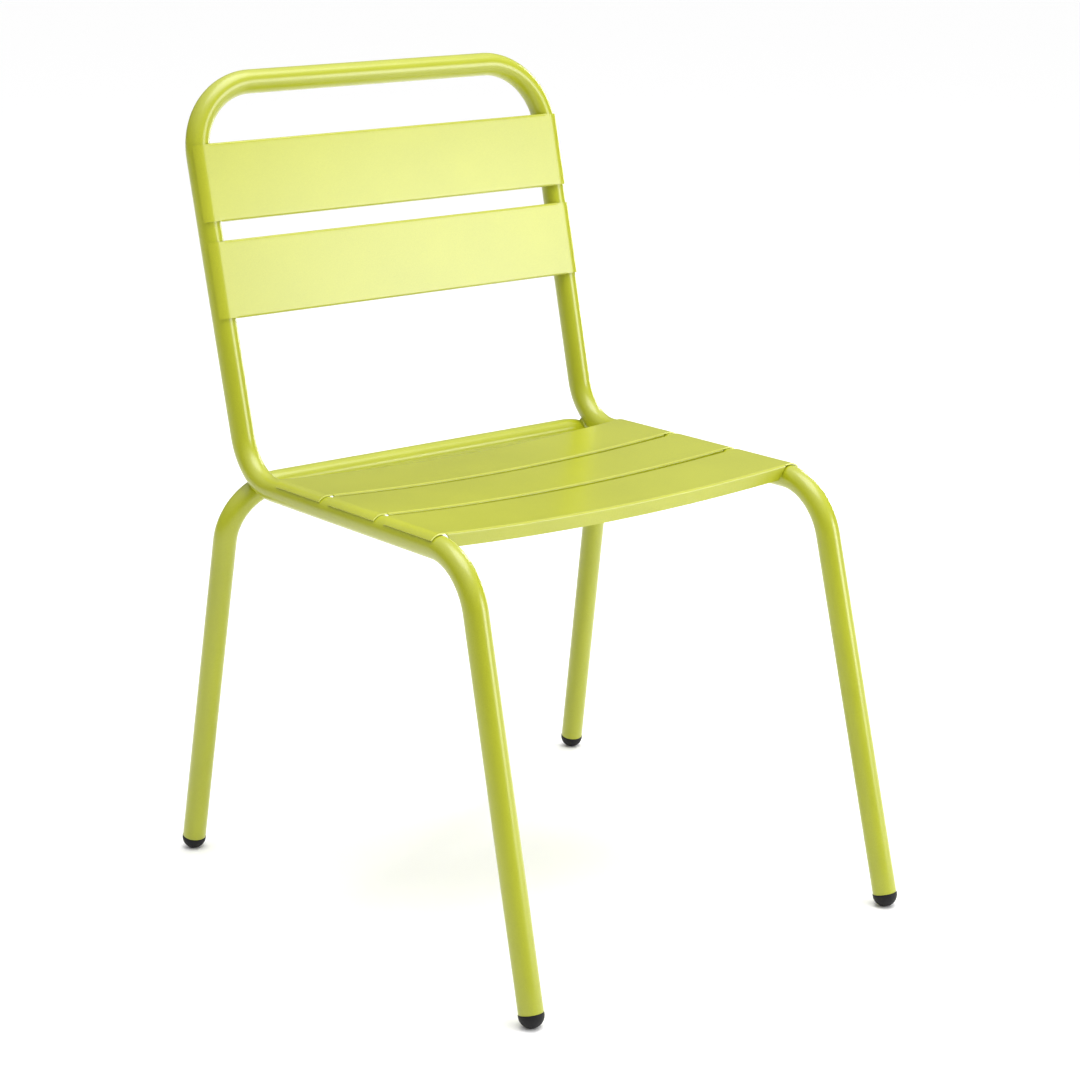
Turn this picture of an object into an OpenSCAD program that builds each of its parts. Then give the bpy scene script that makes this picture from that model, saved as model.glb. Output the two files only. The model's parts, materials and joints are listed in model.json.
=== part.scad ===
// Stacking chair: two bent steel tubes carry pressed sheet-metal slats.
// X runs across the chair, Y from front to back, Z up. The origin is on the floor, at the
// middle of the chair's footprint.

/* [Tube] */
// Outside diameter of both tubes
tube_d = 25; // [20:0.5:30]
// Wall of both tubes
tube_wall = 1.5; // [1:0.1:2.5]

/* [Frame across the chair] */
// Side rails, centre to centre
rail_spacing = 444; // [360:1:540]
// How much further out each post is at the top than at the seat
post_splay = 2.5; // [0:0.5:6]
// How much further out each front foot is than the side rail
front_leg_splay = 8.5; // [0:0.5:20]
// How far each shoulder of the rear tube is outside the side rail
shoulder_outset = 25.5; // [20:0.5:32]
// How much further out each rear foot is than the shoulder above it
rear_leg_splay = 15.5; // [0:0.5:40]

/* [Frame front to back] */
// Front corner to rear corner of the side rail
seat_depth = 392; // [330:1:480]
// How far the front foot is ahead of the front corner
front_leg_rake = 106.5; // [60:0.5:140]
// How far the top rail is behind the rear corner
back_recline = 96; // [60:1:130]
// How far the rear foot is behind the cross rail
rear_leg_rake = 79; // [40:1:95]

/* [Frame heights] */
// Side rail above the floor at the front corner
seat_height = 433; // [350:1:520]
// How much lower the side rail is at the rear corner
seat_drop = 8; // [0:1:20]
// Top rail above the rear corner
back_height = 401.5; // [350:1:500]
// Where round the seat bend the cross rail is welded, in degrees below level
cross_rail_angle = 55.5; // [48:0.5:60]
// Gap left between the two tubes for the weld to fill
weld_gap = 0.1; // [0:0.05:0.5]

/* [Bend radii at the centre line] */
// Front corner, leg to side rail
front_bend_r = 67; // [50:1:80]
// Rear corner, side rail to post
seat_bend_r = 60; // [50:1:72]
// Top corner, post to top rail
top_bend_r = 73; // [55:1:85]
// Shoulder of the rear tube
shoulder_bend_r = 60; // [50:1:72]

/* [Slats] */
// Thickness of the sheet
sheet = 1.5; // [1:0.1:2.5]
// Gap between a slat's hook and the tube it wraps
slat_fit = 0.3; // [0.1:0.05:0.8]
// Gap between seat slats
seat_slat_gap = 9; // [5:0.5:16]
// How far the front slat reaches past the straight of the side rail
seat_slat_reach = 9; // [0:0.5:12]
// Straight rail left free behind the rear slat
seat_slat_margin = 13.5; // [6:0.5:30]
// How far the seat dips in the middle
seat_dip = 8; // [4:0.5:14]
// How far the seat slats wrap down the outside of the rail, in degrees past its top
seat_wrap = 50; // [30:1:75]
// How far the back corner of each seat hook is cut away
hook_taper = 7; // [0:0.5:12]
// Depth of the turned-down edges of a seat slat
seat_flange = 14.5; // [8:0.5:20]
// Height of a back slat
back_slat_height = 81; // [60:1:90]
// Gap between the back slats
back_slat_gap = 19.5; // [10:0.5:30]
// Top rail down to the upper back slat, along the post
back_slat_drop = 61.5; // [52:0.5:80]
// How far the back slats wrap round the post, in degrees past its front
back_wrap = 50; // [30:1:75]
// Depth of the turned-back edges of a back slat
back_flange = 10; // [6:0.5:14]

/* [Welds] */
// Radius of the weld that joins the two tubes
joint_weld_r = 9; // [6:0.5:10]
// Length of each weld under a slat
slat_weld_length = 22; // [10:1:40]

/* [Foot caps] */
// How far the cap stands out past the tube's side
cap_proud = 0.3; // [0.1:0.1:1]
// Straight collar between the tube's end and the dome
cap_collar = 1.8; // [1:0.1:4]
// Height of the flat that meets the floor
cap_flat = 0.6; // [0.3:0.1:1.2]
// Length of the plug inside the tube
plug_length = 20; // [12:1:30]
// Gap between the plug's core and the tube's bore
plug_fit = 1.2; // [0.6:0.1:2]
// Gap between the plug's ribs and the tube's bore
rib_fit = 0.05; // [0:0.01:0.2]

/* [Hidden] */
$fn = 96;

left = -1;
right = 1;
seat_slats = 3;
paint = "#c3cc3c";
bare_weld = "#b4bd3a";
rubber = "#232326";

tube_r = tube_d / 2;
bore_r = tube_r - tube_wall;
cap_r = tube_r + cap_proud;
// A bead where a bend meets a straight: how far it stands out, and how far both stop short of it
bead = 0.05;
bead_gap = 0.4;

// ---- corners of the main tube's centre line, right-hand half ----
chair_depth = 2 * tube_r + cap_proud + front_leg_rake + seat_depth + back_recline;
rail_x = rail_spacing / 2;
cap_z = cap_r - cap_flat;
front_cap = [rail_x + front_leg_splay, cap_r - chair_depth / 2, cap_z];
front_corner = [rail_x, front_cap.y + front_leg_rake, seat_height];
rear_corner = [rail_x, front_corner.y + seat_depth, seat_height - seat_drop];
top_corner = [rail_x + post_splay, rear_corner.y + back_recline, rear_corner.z + back_height];
top_middle = [0, top_corner.y, top_corner.z];
front_end = front_cap + cap_collar * unit(front_corner - front_cap);
main_corners = [top_middle, top_corner, rear_corner, front_corner, front_end];
main_bends = [top_bend_r, seat_bend_r, front_bend_r];

// ---- side rail and post, seen from the side ----
rail_slope = atan2(seat_drop, seat_depth);
post_lean = atan2(back_recline, back_height);
post_length = norm([back_recline, back_height]);
rail_start = bend_cut(front_end, front_corner, rear_corner, front_bend_r);
rail_end = norm([seat_depth, seat_drop])
    - bend_cut(front_corner, rear_corner, top_corner, seat_bend_r);

// ---- the cross rail: laid against the seat bend, a weld gap away ----
bend_steps = 40;
settle_steps = 6;
seat_bend_centre = bend_centre(front_corner, rear_corner, top_corner, seat_bend_r);
seat_bend_points = bend_points(front_corner, rear_corner, top_corner, seat_bend_r);
cross_rail_way = [0, cos(cross_rail_angle), -sin(cross_rail_angle)];
cross_rail_reach = settle(seat_bend_r + tube_d, settle_steps);
rear_corners = rear_path(cross_rail_reach);
rear_cap = rear_cap_at(cross_rail_reach);

// ---- where the two tubes come closest ----
shoulder_points = shoulder_bend(cross_rail_reach);
closest = nearest_pair(seat_bend_points, shoulder_points);

// ---- slats ----
seat_slat_width = (rail_end - rail_start + seat_slat_reach - seat_slat_margin
    - (seat_slats - 1) * seat_slat_gap) / seat_slats;
seat_hook_r = tube_r + slat_fit;
seat_end_angle = 2 * atan(seat_dip / rail_x);
seat_curve_z = rail_x / tan(seat_end_angle);
post_drift = post_splay * back_slat_height / (2 * post_length);
back_hook_r = tube_r + slat_fit + post_drift;
flange_clear = 2.5;
hook_step = 5;
curve_steps = 36;

// ==== geometry of a bent centre line ====

function unit(v) = v / norm(v);

// Angle that the line a-b-c turns through at b
function turn(a, b, c) = acos(unit(b - a) * unit(c - b));

// How much of each straight the bend at b takes up
function bend_cut(a, b, c, radius) = radius * tan(turn(a, b, c) / 2);

// Centre of the bend at b
function bend_centre(a, b, c, radius) =
    b + unit(unit(a - b) + unit(c - b)) * radius / cos(turn(a, b, c) / 2);

// Points along the bend at b, from the a side to the c side
function bend_points(a, b, c, radius) =
    let (along = unit(b - a), angle = turn(a, b, c),
        centre = bend_centre(a, b, c, radius),
        out = unit(b - bend_cut(a, b, c, radius) * along - centre))
    [for (i = [0 : bend_steps])
        let (at = i * angle / bend_steps)
        centre + radius * (out * cos(at) + along * sin(at))];

// Corners of the rear tube's centre line for a cross rail this far from the bend's centre
function cross_rail(reach) = seat_bend_centre + reach * cross_rail_way;
function shoulder(reach) =
    [rail_x + shoulder_outset, cross_rail(reach).y, cross_rail(reach).z];
function rear_cap_at(reach) =
    [shoulder(reach).x + rear_leg_splay, shoulder(reach).y + rear_leg_rake, cap_z];
function rear_path(reach) =
    let (top = shoulder(reach), cap = rear_cap_at(reach))
    [[0, top.y, top.z], top, cap + cap_collar * unit(top - cap)];
function shoulder_bend(reach) =
    let (p = rear_path(reach)) bend_points(p[0], p[1], p[2], shoulder_bend_r);

// Smallest distance between two rows of points, and the two points themselves
function nearest(a, b) = min([for (p = a) for (q = b) norm(p - q)]);
function nearest_pair(a, b) =
    let (least = nearest(a, b))
    [for (p = a) for (q = b) if (norm(p - q) == least) [p, q]][0];

// Moves the cross rail until the tubes are a weld gap apart
function settle(reach, steps) =
    steps == 0 ? reach
    : settle(reach + tube_d + weld_gap - nearest(seat_bend_points, shoulder_bend(reach)),
        steps - 1);

// ==== building blocks ====

module both_sides() {
    children();
    mirror([1, 0, 0]) children();
}

module on_side(side) {
    if (side == right) children();
    else mirror([1, 0, 0]) children();
}

// Puts the Z axis along a direction, and the X axis as near to "across" as it can be
module aim(at, along, across) {
    z = unit(along);
    x = unit(across - (across * z) * z);
    y = cross(z, x);
    multmatrix([[x.x, y.x, z.x, at.x], [x.y, y.y, z.y, at.y], [x.z, y.z, z.z, at.z],
        [0, 0, 0, 1]]) children();
}

// Where a bar that runs up Z is after a bend towards +X
module after_bend(radius, angle) {
    translate([radius, 0, 0]) rotate([0, angle, 0]) translate([-radius, 0, 0]) children();
}

// One bend of a bar that runs up Z, towards +X, with a hair-thin bead at each end. The bead is
// a ball that is just larger than the bar, and it bridges the gap to the straight beside it.
module bend(radius, angle, r) {
    gap_angle = bead_gap / radius * 180 / PI;
    translate([radius, 0, 0]) rotate([90, 0, 180]) rotate([0, 0, gap_angle])
        rotate_extrude(angle = angle - 2 * gap_angle) translate([radius, 0]) circle(r);
    sphere(r + bead);
    after_bend(radius, angle) sphere(r + bead);
}

// A bar laid along straights and bends, one after the other
module bent_bar(straights, radii, angles, rolls, r, i = 0) {
    from = i == 0 ? 0 : bead_gap;
    to = i == len(angles) ? straights[i] : straights[i] - bead_gap;
    translate([0, 0, from]) cylinder(h = to - from, r = r);
    if (i < len(angles)) translate([0, 0, straights[i]]) rotate([0, 0, rolls[i]]) {
        bend(radii[i], angles[i], r);
        after_bend(radii[i], angles[i])
            bent_bar(straights, radii, angles, rolls, r, i + 1);
    }
}

// A bar of radius r whose centre line runs through the corners p, rounded by the radii
module bar_through(p, radii, r) {
    last = len(p) - 2;
    way = [for (i = [0 : last]) unit(p[i + 1] - p[i])];
    angles = [for (i = [1 : last]) turn(p[i - 1], p[i], p[i + 1])];
    cuts = [for (i = [1 : last]) bend_cut(p[i - 1], p[i], p[i + 1], radii[i - 1])];
    taken = concat([0], cuts, [0]);
    straights = [for (i = [0 : last]) norm(p[i + 1] - p[i]) - taken[i] - taken[i + 1]];
    inward = [for (i = [1 : last]) unit(way[i] - (way[i] * way[i - 1]) * way[i - 1])];
    carried = [for (i = [1 : last])
        inward[i - 1] * cos(angles[i - 1]) - way[i - 1] * sin(angles[i - 1])];
    rolls = [for (i = [1 : last]) i == 1 ? 0
        : atan2(cross(carried[i - 2], inward[i - 1]) * way[i - 1],
            carried[i - 2] * inward[i - 1])];
    aim(p[0], way[0], inward[0]) bent_bar(straights, radii, angles, rolls, r);
}

// A tube through the corners, mirrored to the other side of the chair
module bent_tube(p, radii) {
    both_sides() difference() {
        bar_through(p, radii, tube_r);
        bar_through(p, radii, bore_r);
    }
}

// Child geometry with X across, Y back along the side rail and Z up, from its front corner
module on_rail() {
    translate([0, front_corner.y, front_corner.z]) rotate([-rail_slope, 0, 0]) children();
}

// Child geometry with X across, Y backwards and Z up along the posts, from the rear corner
module on_post() {
    translate([0, rear_corner.y, rear_corner.z]) rotate([-post_lean, 0, 0]) children();
}

// An outline in X and Z, carried from y to y + length
module carried_back(y, length) {
    translate([0, y + length, 0]) rotate([90, 0, 0]) linear_extrude(length) children();
}

function mirrored(points) = [for (i = [len(points) - 1 : -1 : 0]) [-points[i].x, points[i].y]];

// ==== slats ====

// Half a hook: from its free edge, over the tube, to the angle where the slat leaves it
function hook(x, rho, wrap, leave) =
    let (steps = ceil((wrap + leave) / hook_step))
    [for (i = [0 : steps]) let (at = wrap - i * (wrap + leave) / steps)
        [x + rho * sin(at), rho * cos(at)]];

// The dipped curve of the seat, at a height rho above the rail's centre where it meets it
function dip(rho, reach) =
    let (radius = rail_x / sin(seat_end_angle) - rho)
    [for (i = [0 : curve_steps]) let (at = reach * (1 - 2 * i / curve_steps))
        [radius * sin(at), seat_curve_z - radius * cos(at)]];

function seat_line(rho) =
    let (side = hook(rail_x, rho, seat_wrap, seat_end_angle))
    concat(side, [for (i = [1 : curve_steps - 1]) dip(rho, seat_end_angle)[i]], mirrored(side));

function back_line(rho, x) =
    let (side = hook(x, rho, back_wrap, 0)) concat(side, mirrored(side));

function reversed(points) = [for (i = [len(points) - 1 : -1 : 0]) points[i]];

module seat_flange_outline() {
    top = seat_hook_r + sheet / 2;
    low = seat_hook_r + sheet - seat_flange;
    top_x = rail_x - tube_r / 2;
    low_x = rail_x - tube_r - flange_clear - sheet;
    base = rail_x / sin(seat_end_angle);
    polygon(concat(dip(top, asin(top_x / (base - top))),
        reversed(dip(low, asin(low_x / (base - low))))));
}

// Cuts the back corner off a hook, from the crest of the rail to the hook's free edge
module hook_trim(y) {
    out = 2 * seat_hook_r * sin(seat_wrap);
    past = y + 1;
    both_sides() linear_extrude(3 * tube_d, center = true)
        polygon([[rail_x, y], [rail_x + out, y - 2 * hook_taper], [rail_x + out, past],
            [rail_x, past]]);
}

module seat_slat(place) {
    y = rail_start - seat_slat_reach + place * (seat_slat_width + seat_slat_gap);
    color(paint) on_rail() {
        difference() {
            carried_back(y, seat_slat_width)
                polygon(concat(seat_line(seat_hook_r + sheet), reversed(seat_line(seat_hook_r))));
            hook_trim(y + seat_slat_width);
        }
        carried_back(y, sheet) seat_flange_outline();
        carried_back(y + seat_slat_width - sheet, sheet) seat_flange_outline();
    }
}

function back_slat_z(place) =
    post_length - back_slat_drop - back_slat_height - place * (back_slat_height + back_slat_gap);

// Distance of the post from the chair's middle, at the middle of a back slat
function post_x(place) =
    rail_x + post_splay * (back_slat_z(place) + back_slat_height / 2) / post_length;

module back_slat(place) {
    x = post_x(place);
    face = back_hook_r + sheet / 2;
    edge = back_hook_r + sheet - back_flange;
    face_x = x - tube_r / 2;
    edge_x = x - tube_r - flange_clear - sheet;
    color(paint) on_post() translate([0, 0, back_slat_z(place)]) {
        linear_extrude(back_slat_height) mirror([0, 1, 0]) polygon(
            concat(back_line(back_hook_r + sheet, x), reversed(back_line(back_hook_r, x))));
        for (z = [0, back_slat_height - sheet]) translate([0, 0, z])
            linear_extrude(sheet) mirror([0, 1, 0])
                polygon([[face_x, face], [-face_x, face], [-edge_x, edge], [edge_x, edge]]);
    }
}

// ==== welds ====

// The wedge between a tube and a slat that leaves it at an angle, on the tube's inner side
module weld_wedge(x, hook_r, leave, drift = 0) {
    from = 22;
    to = 44;
    steps = 6;
    clear = 0.02;
    mate = hook_r - clear;
    near = tube_r + clear + drift;
    tube_side = [for (i = [0 : steps]) let (at = from + i * (to - from) / steps)
        [x - near * sin(at), near * cos(at)]];
    slat_side = [for (p = tube_side) [p.x, (mate - (x - p.x) * sin(leave)) / cos(leave)]];
    polygon(concat(tube_side, reversed(slat_side)));
}

module joint_weld(side) {
    mid = (closest[0] + closest[1]) / 2;
    reach = tube_d - weld_gap - 2 * tube_wall;
    $fn = 240;
    color(bare_weld) on_side(side) difference() {
        aim(mid, closest[1] - closest[0], [1, 0, 0])
            cylinder(h = reach, r = joint_weld_r, center = true);
        bar_through(main_corners, main_bends, tube_r);
        bar_through(rear_corners, [shoulder_bend_r], tube_r);
    }
}

// ==== foot caps ====

module foot_cap(side, at, corner) {
    ribs = 3;
    rib_pitch = plug_length / (ribs + 1);
    rib_h = 1.6;
    color(rubber) on_side(side) difference() {
        aim(at, corner - at, [1, 0, 0]) {
            difference() {
                sphere(cap_r);
                translate([0, 0, cap_collar / 2]) cylinder(h = 2 * cap_r, r = 2 * cap_r);
            }
            cylinder(h = cap_collar, r = cap_r);
            cylinder(h = cap_collar + plug_length, r = bore_r - plug_fit);
            for (i = [1 : ribs]) translate([0, 0, cap_collar + i * rib_pitch - rib_h / 2])
                cylinder(h = rib_h, r = bore_r - rib_fit);
        }
        translate([at.x, at.y, -cap_r]) cube(2 * cap_r, center = true);
    }
}

// ==== one module per sub-part ====

module main_frame_tube() {
    color(paint) bent_tube(main_corners, main_bends);
}

module rear_leg_tube() {
    color(paint) bent_tube(rear_corners, [shoulder_bend_r]);
}

module seat_slat_welds() {
    color(bare_weld) on_rail() both_sides() for (place = [0 : seat_slats - 1])
        carried_back(rail_start - seat_slat_reach + place * (seat_slat_width + seat_slat_gap)
            + (seat_slat_width - slat_weld_length) / 2, slat_weld_length)
            weld_wedge(rail_x, seat_hook_r, seat_end_angle);
}

module back_slat_welds() {
    color(bare_weld) on_post() both_sides() for (place = [0, 1])
        translate([0, 0, back_slat_z(place) + (back_slat_height - slat_weld_length) / 2])
            linear_extrude(slat_weld_length) mirror([0, 1, 0])
                weld_wedge(post_x(place), back_hook_r, 0,
                    post_splay * slat_weld_length / (2 * post_length));
}

main_frame_tube();
rear_leg_tube();
seat_slat(0);  // seat_slat_front
seat_slat(1);  // seat_slat_middle
seat_slat(2);  // seat_slat_rear
back_slat(0);  // back_slat_upper
back_slat(1);  // back_slat_lower
foot_cap(left, front_cap, front_corner);  // foot_cap_front_left
foot_cap(right, front_cap, front_corner);  // foot_cap_front_right
foot_cap(left, rear_cap, rear_corners[1]);  // foot_cap_rear_left
foot_cap(right, rear_cap, rear_corners[1]);  // foot_cap_rear_right
joint_weld(left);  // joint_weld_left
joint_weld(right);  // joint_weld_right
seat_slat_welds();
back_slat_welds();
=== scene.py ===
"""A stacking chair: bent and powder-coated steel tube, pressed sheet slats and moulded foot caps.

Every mesh is a surface of two parameters, worked out with numpy in metres in the chair's own
frame: X runs across the chair, Y from front to back and Z up, with the origin on the floor.
"""

from __future__ import annotations

import json
import logging
import math
from dataclasses import dataclass, field
from enum import Enum

import bmesh
import bpy
import numpy as np
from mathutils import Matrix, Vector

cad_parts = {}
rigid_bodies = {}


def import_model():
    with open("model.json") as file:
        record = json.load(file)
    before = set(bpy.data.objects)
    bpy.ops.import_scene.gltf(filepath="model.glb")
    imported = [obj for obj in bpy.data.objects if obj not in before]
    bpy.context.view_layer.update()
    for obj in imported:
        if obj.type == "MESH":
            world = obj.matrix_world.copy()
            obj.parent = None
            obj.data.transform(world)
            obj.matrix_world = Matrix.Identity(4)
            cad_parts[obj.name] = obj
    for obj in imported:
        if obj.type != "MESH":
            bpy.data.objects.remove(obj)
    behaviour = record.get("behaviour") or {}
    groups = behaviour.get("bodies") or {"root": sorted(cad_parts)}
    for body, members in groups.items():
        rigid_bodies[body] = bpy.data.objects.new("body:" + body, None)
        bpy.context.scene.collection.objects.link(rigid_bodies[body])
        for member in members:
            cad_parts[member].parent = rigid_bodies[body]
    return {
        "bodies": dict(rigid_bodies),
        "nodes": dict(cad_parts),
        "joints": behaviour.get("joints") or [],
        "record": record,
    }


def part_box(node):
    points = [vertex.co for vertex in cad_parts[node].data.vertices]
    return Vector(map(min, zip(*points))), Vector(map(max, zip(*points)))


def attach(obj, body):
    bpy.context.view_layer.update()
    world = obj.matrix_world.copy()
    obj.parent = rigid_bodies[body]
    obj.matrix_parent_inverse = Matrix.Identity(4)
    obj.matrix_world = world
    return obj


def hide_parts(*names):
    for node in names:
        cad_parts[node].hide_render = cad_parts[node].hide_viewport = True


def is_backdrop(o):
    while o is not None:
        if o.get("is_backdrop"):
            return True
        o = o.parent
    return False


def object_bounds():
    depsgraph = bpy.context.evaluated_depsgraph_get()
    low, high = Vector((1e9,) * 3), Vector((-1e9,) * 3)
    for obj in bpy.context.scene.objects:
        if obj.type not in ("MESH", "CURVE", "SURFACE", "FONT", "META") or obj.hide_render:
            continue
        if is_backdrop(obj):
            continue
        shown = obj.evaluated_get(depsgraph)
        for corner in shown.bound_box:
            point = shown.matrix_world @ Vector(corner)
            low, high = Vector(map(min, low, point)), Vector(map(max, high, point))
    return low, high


Array = np.ndarray
Colour = tuple[float, float, float]
Socket = bpy.types.NodeSocket

LOG = logging.getLogger("stacking_chair")
MM = 0.001
BODY = "root"
ACROSS = np.array([1.0, 0.0, 0.0])
BACKWARDS = np.array([0.0, 1.0, 0.0])
# Points closer than this are one point.
MERGE_DISTANCE = 1e-6
# A centre line's longest step on a straight, and its steps round a bend.
STRAIGHT_STEP = 30 * MM
BEND_STEPS = 30
# A stitch weld's middle: its lean in degrees from straight out of the slat, as seen from the
# tube's centre, and how far it is from the tube's skin.
WEDGE_LEAN = 33.0
WEDGE_OUT = 1.1 * MM


class Side(Enum):
    """The two halves of the chair, as seen by someone who faces its front."""

    LEFT = -1.0
    RIGHT = 1.0


class Slot(Enum):
    """The record's material slots."""

    TUBE = "tube_paint"
    SLAT = "slat_paint"
    WELD = "weld_paint"
    CAP = "cap_plastic"


# ---------------------------------------------------------------- vectors and grids


def unit(v: Array) -> Array:
    """Returns each row vector at length one."""
    return v / np.linalg.norm(v, axis=-1, keepdims=True)


def dot(a: Array, b: Array) -> Array:
    """Returns the row-by-row dot product, as a column."""
    return np.sum(a * b, axis=-1, keepdims=True)


def smoothstep(t: Array) -> Array:
    """Returns 3t^2 - 2t^3 with t held between 0 and 1: a ramp that is level at both ends."""
    t = np.clip(t, 0.0, 1.0)
    return t * t * (3.0 - 2.0 * t)


def grid_quads(rows: int, columns: int, wrap_rows: bool, wrap_columns: bool) -> Array:
    """Lists the quads between neighbouring points of a grid.

    Args:
        rows: Number of grid rows.
        columns: Number of grid columns.
        wrap_rows: Whether the last row joins the first.
        wrap_columns: Whether the last column joins the first.

    Returns:
        One row of four point numbers per quad.
    """
    i = np.arange(rows if wrap_rows else rows - 1)[:, None]
    j = np.arange(columns if wrap_columns else columns - 1)[None, :]
    i2, j2 = (i + 1) % rows, (j + 1) % columns
    corners = (i * columns + j, i2 * columns + j, i2 * columns + j2, i * columns + j2)
    return np.stack(np.broadcast_arrays(*corners), axis=-1).reshape(-1, 4)


def ring_grid(
    centre: Array, axis: Array, side: Array, height: Array, radius: Array, around: int
) -> Array:
    """Carries rings along a straight axis.

    A point is centre + height axis + radius (first cos a + second sin a), with first and second
    square to the axis.

    Args:
        centre: Where the height is nought.
        axis: Unit direction of the axis.
        side: A direction that first is square to.
        height: Each ring's place along the axis.
        radius: Each ring's radius.
        around: Points in a ring.

    Returns:
        The points, rings by around by three.
    """
    angle = np.linspace(0.0, 2 * math.pi, around, endpoint=False)[:, None]
    first = unit(np.cross(axis, side))
    ring = np.cos(angle) * first + np.sin(angle) * np.cross(axis, first)
    line = centre + height[:, None] * axis
    return line[:, None, :] + radius[:, None, None] * ring[None]


def signed_volume(points: Array, quads: Array) -> float:
    """Returns the volume inside closed quads, negative when they face inwards."""
    a, b, c, d = (points[quads[:, k]] for k in range(4))
    return float(np.sum(dot(a, np.cross(b, c)) + dot(a, np.cross(c, d))) / 6.0)


@dataclass
class Surface:
    """Points and quads of one or more grids, to be made a mesh.

    Attributes:
        points: One row per point, in metres.
        quads: One row of four point numbers per face.
    """

    points: Array
    quads: Array

    @classmethod
    def of_grid(cls, grid: Array, wrap_rows: bool = False, wrap_columns: bool = False) -> Surface:
        """Makes a surface from a grid of points, outward-facing where it is closed.

        Args:
            grid: Array of rows by columns by three.
            wrap_rows: Whether the last row joins the first.
            wrap_columns: Whether the last column joins the first.

        Returns:
            The surface.
        """
        rows, columns = grid.shape[:2]
        points = grid.reshape(-1, 3)
        quads = grid_quads(rows, columns, wrap_rows, wrap_columns)
        if wrap_columns and signed_volume(points, quads) < 0:
            quads = quads[:, ::-1]
        return cls(points, quads)

    @classmethod
    def joined(cls, parts: list[Surface]) -> Surface:
        """Puts several surfaces into one, each keeping its own points.

        Args:
            parts: The surfaces.

        Returns:
            All of them as one surface.
        """
        starts = np.cumsum([0] + [len(p.points) for p in parts[:-1]])
        quads = [p.quads + start for p, start in zip(parts, starts, strict=True)]
        return cls(np.vstack([p.points for p in parts]), np.vstack(quads))

    def mirrored(self, side: Side) -> Surface:
        """Returns the surface on the given side; the left one is its mirror image in X."""
        if side is Side.RIGHT:
            return self
        return Surface(self.points * (-1.0, 1.0, 1.0), self.quads[:, ::-1])


# ---------------------------------------------------------------- centre lines


@dataclass(frozen=True)
class Line:
    """A sampled centre line with a frame that turns no more than the line does.

    Attributes:
        at: Points along the line.
        along: Unit directions of travel.
        across: Unit vectors square to the line, the frame's first axis.
        bend: How much each point belongs to a bend, from 0 to 1.
        bend_axis: Angle in the frame, in radians, towards the centre of the bend.
    """

    at: Array
    along: Array
    across: Array
    bend: Array
    bend_axis: Array

    @property
    def third(self) -> Array:
        """Returns the frame's second axis, square to the line and to across."""
        return np.cross(self.along, self.across)


def turned(v: Array, axis: Array, angle: Array) -> Array:
    """Turns a vector square to an axis by each angle: v cos + (axis x v) sin, plus its part along.

    Args:
        v: The vector.
        axis: Unit axis.
        angle: One angle per result, in radians.

    Returns:
        One row per angle.
    """
    angle = np.asarray(angle)[:, None]
    along = (v @ axis) * axis
    flat = v - along
    return along + flat * np.cos(angle) + np.cross(axis, flat) * np.sin(angle)


def bent_line(corners: Array, radii: list[float]) -> Line:
    """Runs a line through corners, each rounded by an arc that touches both straights.

    A bend of radius R at a turn of angle a takes R tan(a/2) from each straight. Its points are
    the centre - inward R cos t + forward R sin t, for t from 0 to a.

    Args:
        corners: The corner points, ends included.
        radii: Bend radius at each inner corner.

    Returns:
        The sampled line.
    """
    way = unit(np.diff(corners, axis=0))
    turn = np.arccos(np.clip(dot(way[:-1], way[1:])[:, 0], -1, 1))
    cut = np.concatenate([[0.0], np.array(radii) * np.tan(turn / 2), [0.0]])
    across = unit(np.cross(way[0], way[1]))
    at, along, side, bend, axis_angle = [], [], [], [], []
    for i, forward in enumerate(way):
        start = corners[i] + forward * cut[i]
        end = corners[i + 1] - forward * cut[i + 1]
        count = max(2, math.ceil(np.linalg.norm(end - start) / STRAIGHT_STEP))
        last = i == len(way) - 1
        t = np.linspace(0.0, 1.0, count + 1)[: None if last else -1, None]
        if i > 0:
            t = t[1:]
        at.append(start + (end - start) * t)
        along.append(np.broadcast_to(forward, (len(t), 3)))
        side.append(np.broadcast_to(across, (len(t), 3)))
        bend.append(np.zeros(len(t)))
        axis_angle.append(np.zeros(len(t)))
        if last:
            break
        ahead = way[i + 1]
        inward = unit(ahead - (ahead @ forward) * forward)
        axis = np.cross(forward, inward)
        angle = np.linspace(0.0, turn[i], BEND_STEPS + 1)
        centre = end + inward * radii[i]
        at.append(centre - radii[i] * turned(inward, axis, angle))
        along.append(turned(forward, axis, angle))
        side.append(turned(across, axis, angle))
        ramp = np.minimum(angle, turn[i] - angle) / (turn[i] / 4)
        bend.append(smoothstep(ramp))
        towards = math.atan2(inward @ np.cross(forward, across), inward @ across)
        axis_angle.append(np.full(len(angle), towards))
        across = turned(across, axis, angle[-1:])[0]
    return Line(*(np.concatenate(a) for a in (at, along, side, bend, axis_angle)))


def mirrored_corners(half: Array) -> Array:
    """Returns the corners from the left end to the right end, without the middle point."""
    return np.vstack([half[:0:-1] * (-1.0, 1.0, 1.0), half[1:]])


# ---------------------------------------------------------------- the chair's sizes


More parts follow.
